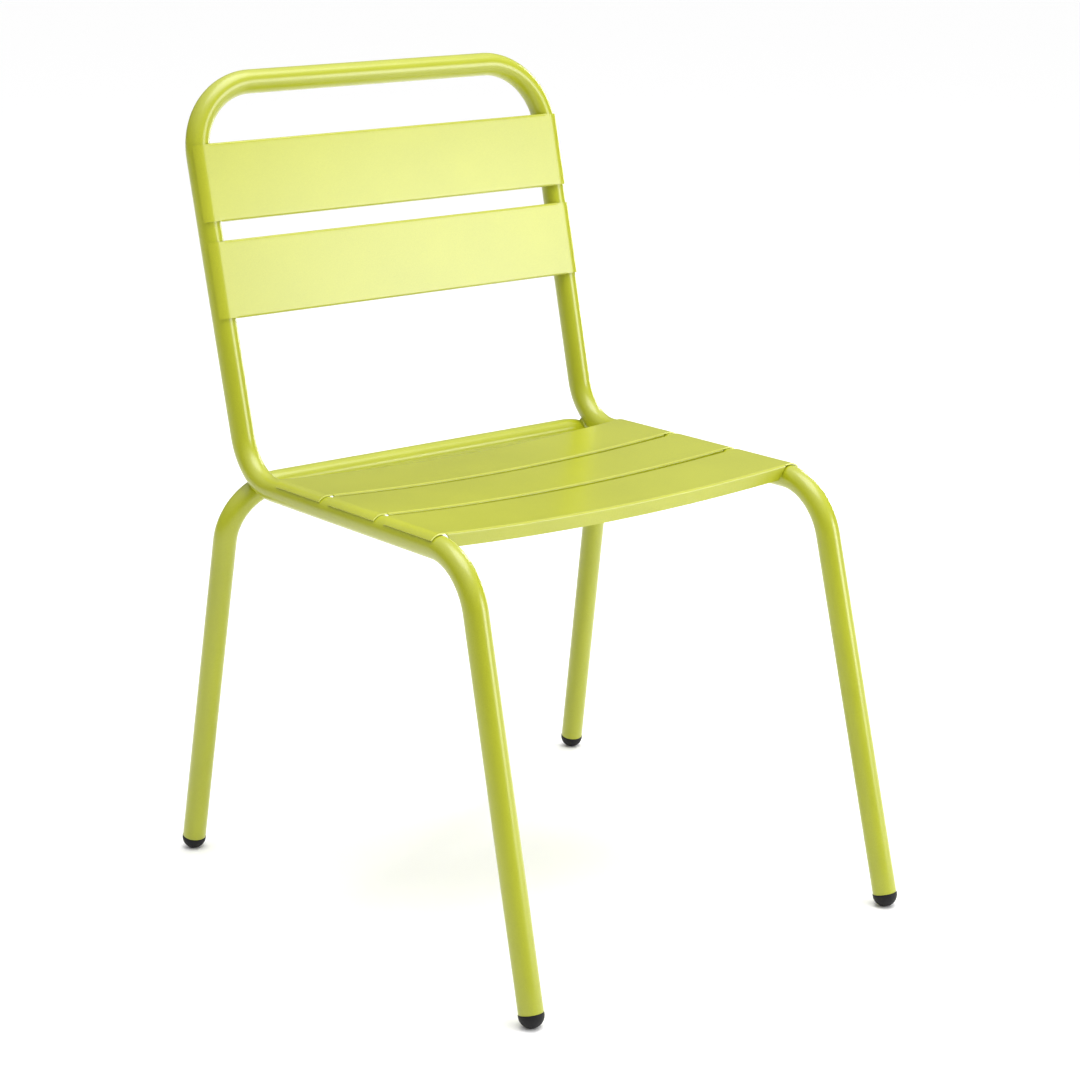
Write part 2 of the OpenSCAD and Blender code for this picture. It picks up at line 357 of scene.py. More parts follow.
@dataclass(frozen=True)
class ChairSizes:
    """The chair's driving sizes in metres, and the places that follow from them.

    Attributes:
        tube_r: Outside radius of both tubes.
        wall: Wall of both tubes.
        rail_x: Middle of the chair to the centre of a side rail.
        post_splay: How much further out each post is at the top.
        seat_depth: Front corner to rear corner of a side rail.
        back_recline: How far the top rail is behind the rear corner.
        seat_height: Side rail above the floor at the front corner.
        seat_drop: How much lower the rail is at the rear corner.
        back_height: Top rail above the rear corner.
        front_leg_rake: How far the front foot is ahead of the front corner.
        shoulder_outset: How far each shoulder of the rear tube is outside the side rail.
        bends: Bend radii at the top, seat and front corners.
        shoulder_bend: Bend radius of the rear tube.
        sheet: Thickness of the slats.
        slat_fit: Gap between a slat's hook and the tube.
        cap_proud: How far a foot cap stands out past the tube.
        cap_collar: Straight collar between the tube's end and the cap's dome.
        cap_flat: Height that the dome's flat takes off.
        front_cap: Centre of the right front cap's dome.
        rear_cap: Centre of the right rear cap's dome.
        cross_rail: Height and depth of the rear tube's cross rail, as Y and Z.
    """

    front_cap: Array
    rear_cap: Array
    cross_rail: tuple[float, float]
    tube_r: float = 12.5 * MM
    wall: float = 1.5 * MM
    rail_x: float = 222 * MM
    post_splay: float = 2.5 * MM
    seat_depth: float = 392 * MM
    back_recline: float = 96 * MM
    seat_height: float = 433 * MM
    seat_drop: float = 8 * MM
    back_height: float = 401.5 * MM
    front_leg_rake: float = 106.5 * MM
    shoulder_outset: float = 25.5 * MM
    bends: tuple[float, float, float] = (73 * MM, 60 * MM, 67 * MM)
    shoulder_bend: float = 60 * MM
    sheet: float = 1.5 * MM
    slat_fit: float = 0.3 * MM
    cap_proud: float = 0.3 * MM
    cap_collar: float = 1.8 * MM
    cap_flat: float = 0.6 * MM

    @classmethod
    def from_frame(cls, mounts: list[dict]) -> ChairSizes:
        """Reads the feet's places from the mounts, and the cross rail's from its node.

        Args:
            mounts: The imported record's mounts.

        Returns:
            The sizes.
        """
        places = {m["name"]: np.array(m["pos_m"], float) for m in mounts}
        cap_r = cls.tube_r + cls.cap_proud
        lift = np.array([0.0, 0.0, cap_r - cls.cap_flat])
        low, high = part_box("rear_leg_tube")
        return cls(
            front_cap=places["floor_front_right"] + lift,
            rear_cap=places["floor_rear_right"] + lift,
            cross_rail=(low.y + cls.tube_r, high.z - cls.tube_r),
        )

    @property
    def front_corner(self) -> Array:
        """Returns the corner between the front leg and the side rail."""
        return np.array([self.rail_x, self.front_cap[1] + self.front_leg_rake, self.seat_height])

    @property
    def rear_corner(self) -> Array:
        """Returns the corner between the side rail and the post."""
        return self.front_corner + (0.0, self.seat_depth, -self.seat_drop)

    @property
    def top_corner(self) -> Array:
        """Returns the corner between the post and the top rail."""
        return self.rear_corner + (self.post_splay, self.back_recline, self.back_height)

    @property
    def shoulder(self) -> Array:
        """Returns the corner between the cross rail and the rear leg."""
        return np.array([self.rail_x + self.shoulder_outset, *self.cross_rail])

    def leg_end(self, cap: Array, corner: Array) -> Array:
        """Returns where the tube stops, one collar above the dome's centre."""
        return cap + self.cap_collar * unit(corner - cap)

    @property
    def main_corners(self) -> Array:
        """Returns the main tube's corners from the top rail's middle to the front foot."""
        top_middle = self.top_corner * (0.0, 1.0, 1.0)
        end = self.leg_end(self.front_cap, self.front_corner)
        return np.array([top_middle, self.top_corner, self.rear_corner, self.front_corner, end])

    @property
    def rear_corners(self) -> Array:
        """Returns the rear tube's corners from the cross rail's middle to the foot."""
        end = self.leg_end(self.rear_cap, self.shoulder)
        return np.array([self.shoulder * (0.0, 1.0, 1.0), self.shoulder, end])

    @property
    def rail_slope(self) -> float:
        """Returns the side rail's fall towards the back, in radians."""
        return math.atan2(self.seat_drop, self.seat_depth)

    @property
    def post_lean(self) -> float:
        """Returns the posts' lean towards the back, in radians."""
        return math.atan2(self.back_recline, self.back_height)

    @property
    def post_length(self) -> float:
        """Returns the post's length between its corners, seen from the side."""
        return math.hypot(self.back_recline, self.back_height)


# ---------------------------------------------------------------- shader groups and finishes


def fill(node: bpy.types.Node, values: dict[str, object]) -> None:
    """Sets a node's input values, by socket name."""
    for key, value in values.items():
        node.inputs[key].default_value = value


class NodeTree:
    """A tree of shader nodes under construction."""

    def __init__(self, tree: bpy.types.NodeTree) -> None:
        """Takes the tree that the nodes go into."""
        self.tree = tree

    def add(
        self, kind: str, values: dict[str, object] | None = None, **settings: object
    ) -> bpy.types.Node:
        """Adds a node.

        Args:
            kind: Blender's name for the node.
            values: Input values, by socket name.
            **settings: Values for the node's own properties, which are set first.

        Returns:
            The node.
        """
        node = self.tree.nodes.new(kind)
        for key, value in settings.items():
            setattr(node, key, value)
        fill(node, values or {})
        return node

    def link(self, source: Socket, target: Socket) -> None:
        """Joins two sockets."""
        self.tree.links.new(source, target)

    def math(self, operation: str, a: Socket | float, b: Socket | float) -> Socket:
        """Adds a Math node.

        Args:
            operation: Blender's name for the operation.
            a: A socket or a number.
            b: A socket or a number.

        Returns:
            The result.
        """
        node = self.add("ShaderNodeMath", operation=operation)
        for index, value in enumerate((a, b)):
            if isinstance(value, Socket):
                self.link(value, node.inputs[index])
            else:
                node.inputs[index].default_value = value
        return node.outputs[0]

    def noise(self, vector: Socket, scale: Socket, detail: float, rough: float) -> Socket:
        """Adds a noise texture.

        Args:
            vector: The place to sample.
            scale: Features to the metre.
            detail: Number of finer layers.
            rough: How strong the finer layers are.

        Returns:
            The value, which is about 0.5 on average.
        """
        node = self.add("ShaderNodeTexNoise", {"Detail": detail, "Roughness": rough})
        self.link(vector, node.inputs["Vector"])
        self.link(scale, node.inputs["Scale"])
        return node.outputs["Fac"]

    def upwards(self, vector: Socket) -> Socket:
        """Returns a vector's Z."""
        node = self.add("ShaderNodeSeparateXYZ")
        self.link(vector, node.inputs[0])
        return node.outputs["Z"]

    def mapped(self, source: Socket, low: float, high: float) -> Socket:
        """Maps a value that runs from 0 to 1.

        Args:
            source: The value.
            low: What 0 becomes.
            high: What 1 becomes.

        Returns:
            The mapped value.
        """
        node = self.add("ShaderNodeMapRange", {"To Min": low, "To Max": high})
        self.link(source, node.inputs["Value"])
        return node.outputs["Result"]


class NodeGroup(NodeTree):
    """A shader node group that is built once and placed in each material with its own values."""

    def __init__(self, name: str, inputs: dict[str, float], outputs: list[str]) -> None:
        """Starts a group with its sockets, which are all numbers.

        Args:
            name: The group's name.
            inputs: Default values, by input name.
            outputs: The outputs' names.
        """
        super().__init__(bpy.data.node_groups.new(name, "ShaderNodeTree"))
        kind = {"socket_type": "NodeSocketFloat"}
        for key, value in inputs.items():
            socket = self.tree.interface.new_socket(key, in_out="INPUT", **kind)
            socket.default_value = value
        for key in outputs:
            self.tree.interface.new_socket(key, in_out="OUTPUT", **kind)
        self.inward = self.add("NodeGroupInput")
        self.outward = self.add("NodeGroupOutput")


def powder_grain_group() -> bpy.types.NodeTree:
    """Builds the orange peel and fine speckle of a powder coat.

    Height is a coarse peel plus a fine grain. Shade is a mask of speckles and of slow clouds.

    Returns:
        The group, with outputs Height and Shade.
    """
    scales = {"Peel Scale": 260.0, "Grain Scale": 1300.0, "Cloud Scale": 7.0}
    group = NodeGroup("powder_grain", scales | {"Grain Share": 0.45}, ["Height", "Shade"])
    place = group.add("ShaderNodeTexCoord").outputs["Object"]
    socket = group.inward.outputs
    peel = group.noise(place, socket["Peel Scale"], 2.0, 0.5)
    grain = group.noise(place, socket["Grain Scale"], 2.0, 0.6)
    cloud = group.noise(place, socket["Cloud Scale"], 3.0, 0.5)
    fine = group.math("MULTIPLY", grain, socket["Grain Share"])
    group.link(group.math("ADD", peel, fine), group.outward.inputs["Height"])
    specks, clouds = group.math("MULTIPLY", grain, 0.6), group.math("MULTIPLY", cloud, 0.4)
    group.link(group.math("ADD", specks, clouds), group.outward.inputs["Shade"])
    return group.tree


def floor_wear_group() -> bpy.types.NodeTree:
    """Builds the scuffing that a foot gets near the floor: a band in Z, broken up by noise.

    Returns:
        The group, with output Mask, which is 1 at the floor and 0 above Reach.
    """
    group = NodeGroup("floor_wear", {"Reach": 0.006, "Break Scale": 420.0}, ["Mask"])
    place = group.add("ShaderNodeTexCoord").outputs["Object"]
    share = group.math("DIVIDE", group.upwards(place), group.inward.outputs["Reach"])
    low = group.math("SUBTRACT", 1.0, share)
    noise = group.noise(place, group.inward.outputs["Break Scale"], 3.0, 0.6)
    held = group.math("MAXIMUM", group.math("ADD", low, group.math("SUBTRACT", noise, 0.62)), 0.0)
    group.link(group.math("MINIMUM", held, 1.0), group.outward.inputs["Mask"])
    return group.tree


class Effects:
    """The shader groups that the finishes share."""

    def __init__(self) -> None:
        """Builds each group once."""
        self.powder_grain = powder_grain_group()
        self.floor_wear = floor_wear_group()


class MaterialMaker(NodeTree):
    """A material under construction: a Principled shader and what feeds it."""

    def __init__(self, name: str) -> None:
        """Starts a material with an empty Principled shader.

        Args:
            name: The material's name.
        """
        self.material = bpy.data.materials.new(name)
        self.material.use_nodes = True
        super().__init__(self.material.node_tree)
        self.shader = self.tree.nodes["Principled BSDF"]

    def ramp(self, source: Socket, low: float, high: float, a: Colour, b: Colour) -> Socket:
        """Adds a colour ramp.

        Args:
            source: The value that it reads.
            low: Value at and below which the colour is a.
            high: Value at and above which the colour is b.
            a: Linear colour at the low end.
            b: Linear colour at the high end.

        Returns:
            The colour.
        """
        node = self.add("ShaderNodeValToRGB")
        ends = zip(node.color_ramp.elements, (low, high), (a, b), strict=True)
        for element, position, colour in ends:
            element.position = position
            element.color = (*colour, 1.0)
        self.link(source, node.inputs["Fac"])
        return node.outputs["Color"]

    def mixed(self, mask: Socket, a: Socket, b: Colour) -> Socket:
        """Mixes one colour over another.

        Args:
            mask: How much of the second colour shows.
            a: The first colour.
            b: The second colour, linear.

        Returns:
            The mixed colour.
        """
        node = self.add("ShaderNodeMix", data_type="RGBA")
        first, second = (k for k in node.inputs if k.type == "RGBA")
        result = next(k for k in node.outputs if k.type == "RGBA")
        self.link(mask, node.inputs["Factor"])
        self.link(a, first)
        second.default_value = (*b, 1.0)
        return result

    def bump(self, height: Socket, distance: float, strength: float) -> None:
        """Feeds a height to the shader's normal.

        Args:
            height: Socket with the height, where 1 stands for distance.
            distance: Height of a full step, in metres.
            strength: Share of the effect that is kept.
        """
        node = self.add("ShaderNodeBump", {"Distance": distance, "Strength": strength})
        self.link(height, node.inputs["Height"])
        self.link(node.outputs["Normal"], self.shader.inputs["Normal"])


@dataclass(frozen=True)
class PowderCoat:
    """A satin powder coat on steel.

    Attributes:
        name: The material's name.
        deep: Linear colour of the darker specks.
        light: Linear colour of the lighter specks.
        roughness: Roughness in the specks' middle.
        peel: Height of the orange peel.
        coat: Weight of the clear gloss over the colour.
        grain_scale: Specks to the metre.
        coat_roughness: Roughness of that gloss.
        uneven: How far the roughness strays either way.
        spread: How far from its middle the shade reaches either colour.
        bite: Share of the peel that shows.
    """

    name: str
    deep: Colour
    light: Colour
    roughness: float = 0.36
    peel: float = 0.05 * MM
    coat: float = 0.62
    grain_scale: float = 1300.0
    coat_roughness: float = 0.24
    uneven: float = 0.05
    spread: float = 0.14
    bite: float = 0.6

    def build(self, effects: Effects) -> bpy.types.Material:
        """Builds the material: speckled colour, uneven gloss and orange peel.

        Args:
            effects: The shared shader groups.

        Returns:
            The material.
        """
        maker = MaterialMaker(self.name)
        scales = {"Grain Scale": self.grain_scale}
        grain = maker.add("ShaderNodeGroup", scales, node_tree=effects.powder_grain)
        shade = grain.outputs["Shade"]
        colour = maker.ramp(shade, 0.5 - self.spread, 0.5 + self.spread, self.deep, self.light)
        maker.link(colour, maker.shader.inputs["Base Color"])
        rough = maker.mapped(shade, self.roughness - self.uneven, self.roughness + self.uneven)
        maker.link(rough, maker.shader.inputs["Roughness"])
        gloss = {"Coat Weight": self.coat, "Coat Roughness": self.coat_roughness}
        fill(maker.shader, gloss)
        maker.bump(grain.outputs["Height"], self.peel, self.bite)
        return maker.material


@dataclass(frozen=True)
class MouldedPlastic:
    """A matte black moulded plastic with scuffs where it meets the floor.

    Attributes:
        name: The material's name.
        deep: Linear colour of the darker cloud.
        light: Linear colour of the lighter cloud.
        scuff: Linear colour of the worn band.
        roughness: Roughness away from the scuffs.
        scuff_roughness: How much rougher the worn band is.
        reach: Height of the worn band.
        texture: Height of the mould's texture.
        shine: Level of the mirror-like part, where 0.5 is that of plain plastic.
        spread: How far from its middle the shade reaches either colour.
        bite: Share of the texture that shows.
    """

    name: str
    deep: Colour
    light: Colour
    scuff: Colour
    roughness: float = 0.55
    scuff_roughness: float = 0.3
    reach: float = 4 * MM
    texture: float = 0.06 * MM
    shine: float = 0.22
    spread: float = 0.15
    bite: float = 0.7

    def build(self, effects: Effects) -> bpy.types.Material:
        """Builds the material: fine mould texture, cloudy black and a worn band.

        Args:
            effects: The shared shader groups.

        Returns:
            The material.
        """
        maker = MaterialMaker(self.name)
        scales = {"Peel Scale": 900.0, "Grain Scale": 2600.0}
        grain = maker.add("ShaderNodeGroup", scales, node_tree=effects.powder_grain)
        reach = {"Reach": self.reach}
        wear = maker.add("ShaderNodeGroup", reach, node_tree=effects.floor_wear)
        shade = grain.outputs["Shade"]
        colour = maker.ramp(shade, 0.5 - self.spread, 0.5 + self.spread, self.deep, self.light)
        worn = maker.mixed(wear.outputs["Mask"], colour, self.scuff)
        maker.link(worn, maker.shader.inputs["Base Color"])
        worn_roughness = self.roughness + self.scuff_roughness
        rough = maker.mapped(wear.outputs["Mask"], self.roughness, worn_roughness)
        maker.link(rough, maker.shader.inputs["Roughness"])
        fill(maker.shader, {"Specular IOR Level": self.shine})
        maker.bump(grain.outputs["Height"], self.texture, self.bite)
        return maker.material


class Finishes:
    """The chair's materials."""

    def __init__(self) -> None:
        """Builds each material once."""
        effects = Effects()
        self.tube = PowderCoat(
            "lime_powder_on_tube",
            deep=(0.318, 0.343, 0.004),
            light=(0.388, 0.418, 0.010),
            roughness=0.34,
            coat=0.38,
        ).build(effects)
        # The sheet's lime is the tube's set a little lighter: painted light for the sheen that the
        # slats catch from the front, not a different paint.
        self.sheet = PowderCoat(
            "lime_powder_on_sheet",
            deep=(0.338, 0.360, 0.004),
            light=(0.410, 0.434, 0.010),
            roughness=0.38,
        ).build(effects)
        # The cut edges' colour is far lighter than the sheet's own lime: a painted highlight along
        # the edges, not a different finish.
        self.edge = PowderCoat(
            "lime_powder_on_cut_edge",
            deep=(0.66, 0.70, 0.14),
            light=(0.80, 0.83, 0.24),
            roughness=0.34,
            coat=0.5,
        ).build(effects)
        self.weld = PowderCoat(
            "lime_powder_on_weld",
            deep=(0.285, 0.310, 0.008),
            light=(0.365, 0.395, 0.015),
            roughness=0.38,
            grain_scale=1800.0,
        ).build(effects)
        self.cap = MouldedPlastic(
            "black_moulded_plastic",
            deep=(0.004, 0.004, 0.0045),
            light=(0.010, 0.010, 0.011),
            scuff=(0.034, 0.033, 0.032),
        ).build(effects)


# ---------------------------------------------------------------- making and dressing pieces


def linked(name: str, data: bpy.types.ID) -> bpy.types.Object:
    """Returns a new object in the scene, at the origin."""
    obj = bpy.data.objects.new(name, data)
    bpy.context.scene.collection.objects.link(obj)
    return obj


@dataclass
class Workshop:
    """Makes the meshes real: links them, dresses them and ties them to the frame.

    Attributes:
        finishes: The chair's materials.
        made: Every piece made so far.
    """

    finishes: Finishes
    made: list[bpy.types.Object] = field(default_factory=list)

    def piece(
        self,
        name: str,
        surface: Surface,
        materials: list[bpy.types.Material],
        nodes: list[str],
    ) -> bpy.types.Object:
        """Makes one piece that stands for CAD nodes.

        Args:
            name: The piece's name.
            surface: Its points and quads.
            materials: Its materials, the main one first.
            nodes: The CAD nodes that it replaces.

        Returns:
            The object, at the origin.
        """
        mesh = bpy.data.meshes.new(name)
        mesh.vertices.add(len(surface.points))
        mesh.vertices.foreach_set("co", surface.points.astype(np.float32).ravel())
        mesh.loops.add(surface.quads.size)
        mesh.loops.foreach_set("vertex_index", surface.quads.astype(np.int32).ravel())
        mesh.polygons.add(len(surface.quads))
        starts = np.arange(len(surface.quads), dtype=np.int32) * 4
        mesh.polygons.foreach_set("loop_start", starts)
        mesh.update(calc_edges=True)
        self.merge_doubles(mesh)
        mesh.polygons.foreach_set("use_smooth", np.ones(len(mesh.polygons), bool))
        obj = linked(name, mesh)
        for material in materials:
            mesh.materials.append(material)
        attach(obj, BODY)
        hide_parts(*nodes)
        self.made.append(obj)
        return obj

    def pair(
        self, name: str, surface: Surface, material: bpy.types.Material, node: str
    ) -> None:
        """Makes a piece on both sides of the chair.

        Args:
            name: The pieces' name, before the side.
            surface: The right-hand one.
            material: Their material.
            node: The CAD nodes' name, before the side.
        """
        for side in Side:
            end = side.name.lower()
            nodes = [f"{node}_{end}"]
            self.piece(f"{name}_{end}", surface.mirrored(side), [material], nodes)

    def sheet_piece(self, slat: Slat, spot: Placement) -> None:
        """Makes one slat, with its thickness and its cut edges in a lighter colour that paints the
        highlight they catch.

        Args:
            slat: The slat.
            spot: Where its own frame lies in the chair.
        """
        looks = [self.finishes.sheet, self.finishes.edge]
        obj = self.piece(slat.name, spot.place(slat.surface()), looks, [slat.node])
        self.thicken(obj, slat.sheet, slat.cut_edge)

    @staticmethod
    def merge_doubles(mesh: bpy.types.Mesh) -> None:
        """Closes seams and poles by joining points that lie on each other.

        Args:
            mesh: The mesh to close.
        """
        work = bmesh.new()
        work.from_mesh(mesh)
        bmesh.ops.remove_doubles(work, verts=work.verts, dist=MERGE_DISTANCE)
        work.to_mesh(mesh)
        work.free()
        mesh.update()

    @staticmethod
    def thicken(obj: bpy.types.Object, thickness: float, edge: float) -> None:
        """Gives a sheet its thickness, with its rim in the lighter material that paints a
        highlight, and rounds its cut edges.

        Args:
            obj: The sheet, at its middle surface.
            thickness: Sheet thickness.
            edge: Radius of the rounded cut edges.
        """
        wall = obj.modifiers.new("thickness", "SOLIDIFY")
        wall.thickness = thickness
        wall.offset = 0.0
        wall.use_even_offset = True
        # The rim and the rounded edges take material 1, the painted highlight.
        wall.material_offset_rim = 1
        rounding = obj.modifiers.new("cut_edges", "BEVEL")
        rounding.width = edge
        rounding.segments = 3
        rounding.limit_method = "ANGLE"
        rounding.angle_limit = math.radians(50)
        rounding.material = 1

    def report(self) -> None:
        """Logs each piece with its size."""
        for obj in self.made:
            LOG.info("%s: %d faces", obj.name, len(obj.data.polygons))


# ---------------------------------------------------------------- tubes


@dataclass(frozen=True)
class BentTube:
    """A bent round tube with rounded cut ends.

    Attributes:
        name: The piece's name.
        node: The CAD node that it stands for.
        half: Corners from the chair's middle to one end.
        radii: Bend radii of that half, from the middle out.
        radius: Outside radius.
        wall: Wall thickness.
        lip: Radius of the rounded edges of its ends.
        oval: How much a bend flattens the tube, as a share of its radius.
        around: Points round the tube.
        shy: How much the skin stays inside the nominal radius.
    """

    name: str
    node: str
    half: Array
    radii: tuple[float, ...]
    radius: float
    wall: float
    lip: float = 0.55 * MM
    oval: float = 0.012
    around: int = 72
    shy: float = 0.03 * MM

    def line(self) -> Line:
        """Returns the centre line from the left end to the right end."""
        radii = [*self.radii[::-1], *self.radii]
        return bent_line(mirrored_corners(self.half), radii)

    def wall_profile(self, count: int) -> tuple[Array, Array, Array]:
        """Works out the wall's closed outline: out along the outside, back along the bore.

        At each end the outline turns by two quarter circles of the lip's radius.

        Args:
            count: Number of stations along the line.

        Returns:
            For each outline point its station, its shift along the line and its radius.
        """
        skin, bore = self.radius - self.shy, self.radius - self.wall
        quarter = np.linspace(0.0, math.pi / 2, 7)
        shift = np.concatenate([np.sin(quarter), np.sin(quarter[::-1])]) * self.lip - self.lip
        radius = np.concatenate([
            skin - self.lip * (1 - np.cos(quarter)),
            bore + self.lip * (1 - np.cos(quarter[::-1])),
        ])
        inner = np.arange(1, count - 1)
        still = np.zeros(len(inner))
        last, first = np.full(len(shift), count - 1), np.zeros(len(shift), int)
        station = np.concatenate([inner, last, inner[::-1], first])
        moved = np.concatenate([still, shift, still, -shift[::-1]])
        out = np.concatenate([
            np.full(len(inner), skin), radius, np.full(len(inner), bore), radius[::-1]
        ])
        return station, moved, out

    def surface(self) -> Surface:
        """Carries a ring along the wall's outline.

        A point is the line's place plus the shift along it, plus r (across cos a + third sin a).
        In a bend r shrinks by oval cos^2 of the angle from the bend's centre.

        Returns:
            The closed tube.
        """
        line = self.line()
        station, shift, radius = self.wall_profile(len(line.at))
        angle = np.linspace(0.0, 2 * math.pi, self.around, endpoint=False)[None, :]
        off = angle - line.bend_axis[station][:, None]
        squash = 1.0 - self.oval * line.bend[station][:, None] * np.cos(off) ** 2
        ring = (
            line.across[station][:, None, :] * np.cos(angle)[..., None]
            + line.third[station][:, None, :] * np.sin(angle)[..., None]
        )
        base = line.at[station] + line.along[station] * shift[:, None]
        grid = base[:, None, :] + ring * (radius[:, None] * squash)[..., None]
        return Surface.of_grid(grid, wrap_rows=True, wrap_columns=True)

    def build(self, shop: Workshop) -> bpy.types.Object:
        """Makes the piece."""
        return shop.piece(self.name, self.surface(), [shop.finishes.tube], [self.node])


# ---------------------------------------------------------------- slats


@dataclass(frozen=True)
class SheetSection:
    """The middle line of a slat from its left hem to its right hem.

    Attributes:
        x: Distance from the chair's middle.
        z: Distance out from the line that joins the tubes' centres.
        normal_x: Outward direction's X.
        normal_z: Outward direction's Z.
    """

    x: Array
    z: Array
    normal_x: Array
    normal_z: Array


@dataclass(frozen=True)
class Slat:
    """A pressed sheet that hooks over two tubes, with both long edges folded over.

    Attributes:
        name: The piece's name.
        node: The CAD node that it stands for.
        centre_x: Middle of the chair to the tube's centre.
        hook_r: Inside radius of the hooks.
        wrap: How far each hook goes down the tube's outside, in degrees.
        dip: How far the span dips in the middle; 0 for a flat span.
        width: Size of the slat along the tubes.
        fold: Depth of the folded edges from the sheet's outer face.
        sheet: Thickness.
        taper: How much of the far corner of each hook is cut back.
        fold_end_top: How far inside the tube's centre the fold's end starts.
        fold_end_low: The same at the fold's free edge.
        fold_r: Bend radius of the folds at the middle of the sheet.
        cut_edge: Radius of the cut edges.
        hem_step: Angle at the hem before the even stations start, in radians.
        close: Where the close stations start, inside the tube's centre.
        beside: How far past the fold's slanted end they go.
        steps: Stretches round the hook, past the fold's end and to the middle.
    """

    name: str
    node: str
    centre_x: float
    hook_r: float
    wrap: float
    dip: float
    width: float
    fold: float
    sheet: float
    taper: float = 0.0
    fold_end_top: float = 6.5 * MM
    fold_end_low: float = 17.0 * MM
    fold_r: float = 1.5 * MM
    cut_edge: float = 0.4 * MM
    hem_step: float = 0.09
    close: float = 2.2 * MM
    beside: float = 1.5 * MM
    steps: tuple[int, int, int] = (20, 34, 30)

    @property
    def leave(self) -> float:
        """Returns the angle at which the dipped span leaves the hook, in radians."""
        return 2 * math.atan(self.dip / self.centre_x)

    def span_z(self, x: Array, rho: float) -> Array:
        """Works out the span's height: an arc that runs smoothly into the hooks.

        The arc's centre is x/tan(a) above the tubes' line, where x is the tube's place and a the
        angle at which the span leaves the hook; its radius is x/sin(a) less the hook's.

        Args:
            x: Places across the chair.
            rho: Radius of the hooks.

        Returns:
            The heights.
        """
        if self.dip == 0:
            return np.full_like(x, rho)
        high = self.centre_x / math.tan(self.leave)
        radius = self.centre_x / math.sin(self.leave) - rho
        return high - np.sqrt(radius**2 - x**2)

    def section(self) -> SheetSection:
        """Works out the middle line: hook arc, span, hook arc.

        The hook is centre + rho (sin a, cos a) from the hem to the angle where the span leaves
        it. Stations are close together at the hem and where the folds end.

        Returns:
            The section.
        """
        rho = self.hook_r + self.sheet / 2
        hem = math.radians(self.wrap)
        near_hem = hem - self.cut_edge * 2 / rho
        hook_steps, fine_steps, span_steps = self.steps
        bend = np.linspace(hem - self.hem_step, -self.leave, hook_steps)
        arc = np.concatenate([[hem, near_hem], bend])
        hook_x, hook_z = self.centre_x + rho * np.sin(arc), rho * np.cos(arc)
        far_end = self.fold_end_low + self.beside
        fine = self.centre_x - np.linspace(self.close, far_end, fine_steps)
        span = np.concatenate([fine, np.linspace(fine[-1], 0.0, span_steps)[1:]])
        x = np.concatenate([hook_x, span])
        z = np.concatenate([hook_z, self.span_z(span, rho)])
        radius = self.centre_x / math.sin(self.leave) - rho if self.dip else 1.0
        lean = np.concatenate([np.sin(arc), -span / radius if self.dip else span * 0.0])
        x, z, lean = (
            np.concatenate([sign * a, a[-2::-1]]) for sign, a in ((-1, x), (1, z), (-1, lean))
        )
        return SheetSection(x, z, lean, np.sqrt(1.0 - lean**2))

    def fold_depth(self, x: Array) -> Array:
        """Works out the fold's depth: nothing over the tube, then a slanted cut, then full.

        Args:
            x: Places across the chair.

        Returns:
            The depths, at the middle of the sheet.
        """
        inside = self.centre_x - self.fold_end_top - np.abs(x)
        share = np.clip(inside / (self.fold_end_low - self.fold_end_top), 0.0, 1.0)
        return share * (self.fold - self.sheet / 2)

    def folded_edge(self, depth: Array) -> tuple[Array, Array]:
        """Works out a folded edge from its free edge up to the flat of the slat.

        The fold is a straight of the depth less the bend radius, then a quarter ellipse whose
        height is the bend radius or the depth, whichever is less.

        Args:
            depth: Fold depth at each section point.

        Returns:
            Distance in from the slat's edge and drop below its face, rows by section points.
        """
        rise = np.minimum(self.fold_r, depth)[None, :]
        straight = depth[None, :] - rise
        share = np.array([0.0, 0.06, 0.35, 0.65, 0.94])[:, None]
        flat_in = np.full((len(share), len(depth)), self.sheet / 2)
        angle = np.linspace(0.0, math.pi / 2, 9)[:, None]
        curve_in = self.sheet / 2 + self.fold_r * (1 - np.cos(angle))
        curve_in = np.repeat(curve_in, len(depth), axis=1)
        drop = np.vstack([rise + straight * (1 - share), rise * (1 - np.sin(angle))])
        return np.vstack([flat_in, curve_in]), drop

    def surface(self) -> Surface:
        """Sweeps the section along the tubes and folds its two long edges.

        A point is the section's point, moved along the tube by how far in it is, and moved
        against the section's outward direction by how far it has dropped.

        Returns:
            The middle surface, with X across, Y along the tubes and Z outwards.
        """
        s = self.section()
        depth = self.fold_depth(s.x)
        inset, drop = self.folded_edge(depth)
        hem_x = self.hook_r * math.sin(math.radians(self.wrap))
        outside = np.clip((np.abs(s.x) - self.centre_x) / hem_x, 0.0, 1.0)
        far = self.width - self.taper * outside[None, :]
        share = np.array([0.02, 0.15, 0.3, 0.5, 0.7, 0.85, 0.98])[:, None]
        start, stop = inset[-1:], far - inset[-1:]
        y = np.vstack([inset, start + (stop - start) * share, far - inset[::-1]])
        down = np.vstack([drop, np.zeros((len(share), len(depth))), drop[::-1]])
        x = s.x[None, :] - s.normal_x[None, :] * down
        z = s.z[None, :] - s.normal_z[None, :] * down
        return Surface.of_grid(np.stack([x, y, z], axis=-1))


